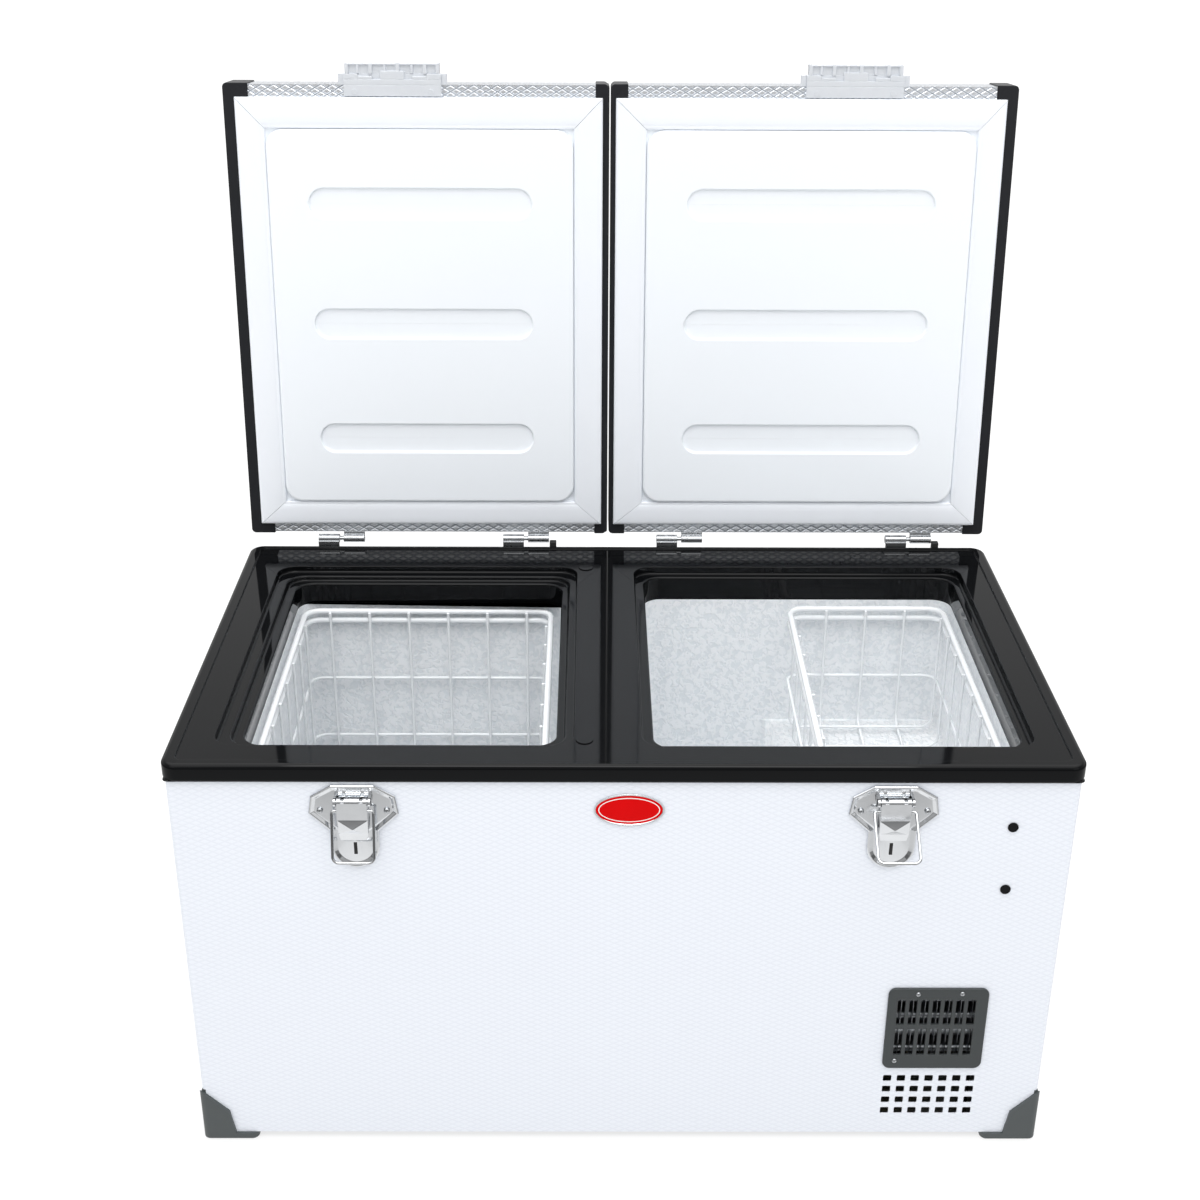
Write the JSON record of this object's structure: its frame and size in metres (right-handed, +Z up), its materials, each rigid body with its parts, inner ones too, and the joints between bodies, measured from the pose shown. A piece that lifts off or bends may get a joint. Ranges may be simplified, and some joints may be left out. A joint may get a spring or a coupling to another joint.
{
  "type": "compressor cooler fridge",
  "caption": "Chest-style portable compressor fridge with side-by-side compartments under separate rear-hinged lids, draw latches, drop handles and lift-out wire baskets.",
  "frame": {"origin": "on the floor, under the middle of the overall bounding box with both lids open", "axes": "+X to the right as seen from the front, +Y to the back, +Z up; the latches face -Y"},
  "size_m": [0.908, 0.6604, 1.0121],
  "materials": {
    "embossed_white_steel": "satin",
    "embossed_bare_sheet": "satin",
    "stucco_aluminium": "satin",
    "galvanised_steel": "satin",
    "foam": "matte",
    "black_abs": "gloss",
    "satin_black_plastic": "satin",
    "white_abs": "satin",
    "white_seal": "satin",
    "zinc_diecast": "satin",
    "chromed_zinc": "polished",
    "stainless_wire": "polished",
    "stainless_steel": "satin",
    "red_badge": "gloss",
    "coated_white_wire": "gloss",
    "compressor_enamel": "satin",
    "rubber_mount": "matte",
    "copper": "satin",
    "fin_aluminium": "satin",
    "display_glass": "gloss",
    "button_plastic": "satin"
  },
  "bodies": {
    "root": {"cabinet_front_panel": "embossed_white_steel", "cabinet_rear_panel": "embossed_white_steel", "cabinet_side_panels": "embossed_white_steel", "base_pan": "galvanised_steel", "insulation_foam": "foam", "liner_left": "stucco_aluminium", "liner_right": "stucco_aluminium", "evaporators": "fin_aluminium", "rim_collar": "black_abs", "cover_caps": "satin_black_plastic", "corner_guards": "satin_black_plastic", "vent_grille": "satin_black_plastic", "badge": "red_badge", "latch_bases": "chromed_zinc", "latch_pins": "stainless_steel", "hinge_body_leaves": "stainless_steel", "hinge_pins": "stainless_steel", "lid_stops": "rubber_mount", "cabinet_screws": "stainless_steel", "compressor": "compressor_enamel", "compressor_feet": "rubber_mount", "condenser": "fin_aluminium", "fan_frame": "satin_black_plastic", "control_module": "satin_black_plastic", "refrigerant_lines": "copper", "control_panel": "satin_black_plastic", "display_window": "display_glass", "power_sockets": "satin_black_plastic", "side_vent_grille": "satin_black_plastic", "handle_brackets": "zinc_diecast"},
    "fan": {"fan_rotor": "satin_black_plastic"},
    "lid_left": {"lid_skin_left": "embossed_bare_sheet", "lid_foam_left": "foam", "lid_panel_left": "white_abs", "lid_gasket_left": "white_seal", "lid_trims_left": "satin_black_plastic", "lid_catch_left": "zinc_diecast", "lid_leaves_left": "stainless_steel", "lid_fasteners_left": "stainless_steel"},
    "lever_left": {"latch_lever_left": "chromed_zinc"},
    "bail_left": {"latch_bail_left": "stainless_wire"},
    "carry_handle_left": {"handle_left": "stainless_steel"},
    "wire_basket_left": {"basket_left": "coated_white_wire"},
    "lid_right": {"lid_skin_right": "embossed_bare_sheet", "lid_foam_right": "foam", "lid_panel_right": "white_abs", "lid_gasket_right": "white_seal", "lid_trims_right": "satin_black_plastic", "lid_catch_right": "zinc_diecast", "lid_leaves_right": "stainless_steel", "lid_fasteners_right": "stainless_steel"},
    "lever_right": {"latch_lever_right": "chromed_zinc"},
    "bail_right": {"latch_bail_right": "stainless_wire"},
    "carry_handle_right": {"handle_right": "stainless_steel"},
    "wire_basket_right": {"basket_right": "coated_white_wire"},
    "power_button": {"button_power": "button_plastic"},
    "mode_button": {"button_mode": "button_plastic"},
    "up_button": {"button_up": "button_plastic"},
    "down_button": {"button_down": "button_plastic"}
  },
  "joints": [
    {"name": "lid_left_hinge", "type": "hinge", "parent": "root", "child": "lid_left", "pos_m": [-0.22, 0.23487, 0.466], "axis": [-1, 0, 0], "range_deg": [-95.5, 0]},
    {"name": "lever_left_pivot", "type": "hinge", "parent": "root", "child": "lever_left", "pos_m": [-0.2585, -0.28613, 0.422], "axis": [-1, 0, 0], "range_deg": [0, 110]},
    {"name": "bail_left_pivot", "type": "hinge", "parent": "lever_left", "child": "bail_left", "pos_m": [-0.2585, -0.28613, 0.412], "axis": [1, 0, 0], "range_deg": [-145, 14]},
    {"name": "handle_left_pivot", "type": "hinge", "parent": "root", "child": "carry_handle_left", "pos_m": [-0.446, 0.01287, 0.345], "axis": [0, 1, 0], "range_deg": [0, 95]},
    {"name": "basket_left_lift", "type": "slide", "parent": "root", "child": "wire_basket_left", "axis": [0, 0, 1], "range_m": [0, 0.42]},
    {"name": "lid_right_hinge", "type": "hinge", "parent": "root", "child": "lid_right", "pos_m": [0.22, 0.23487, 0.466], "axis": [-1, 0, 0], "range_deg": [-95.5, 0]},
    {"name": "lever_right_pivot", "type": "hinge", "parent": "root", "child": "lever_right", "pos_m": [0.2585, -0.28613, 0.422], "axis": [-1, 0, 0], "range_deg": [0, 110]},
    {"name": "bail_right_pivot", "type": "hinge", "parent": "lever_right", "child": "bail_right", "pos_m": [0.2585, -0.28613, 0.412], "axis": [1, 0, 0], "range_deg": [-105, 54]},
    {"name": "handle_right_pivot", "type": "hinge", "parent": "root", "child": "carry_handle_right", "pos_m": [0.446, 0.01287, 0.345], "axis": [0, -1, 0], "range_deg": [0, 95]},
    {"name": "basket_right_lift", "type": "slide", "parent": "root", "child": "wire_basket_right", "axis": [0, 0, 1], "range_m": [0, 0.22]},
    {"name": "fan_spin", "type": "hinge", "parent": "root", "child": "fan", "pos_m": [0.321, -0.22713, 0.1467], "axis": [0, 1, 0], "continuous": true},
    {"name": "power_button_press", "type": "slide", "parent": "root", "child": "power_button", "axis": [-1, 0, 0], "range_m": [0, 0.0012], "stiffness_N_per_m": 300},
    {"name": "mode_button_press", "type": "slide", "parent": "root", "child": "mode_button", "axis": [-1, 0, 0], "range_m": [0, 0.0012], "stiffness_N_per_m": 300},
    {"name": "up_button_press", "type": "slide", "parent": "root", "child": "up_button", "axis": [-1, 0, 0], "range_m": [0, 0.0012], "stiffness_N_per_m": 300},
    {"name": "down_button_press", "type": "slide", "parent": "root", "child": "down_button", "axis": [-1, 0, 0], "range_m": [0, 0.0012], "stiffness_N_per_m": 300}
  ]
}
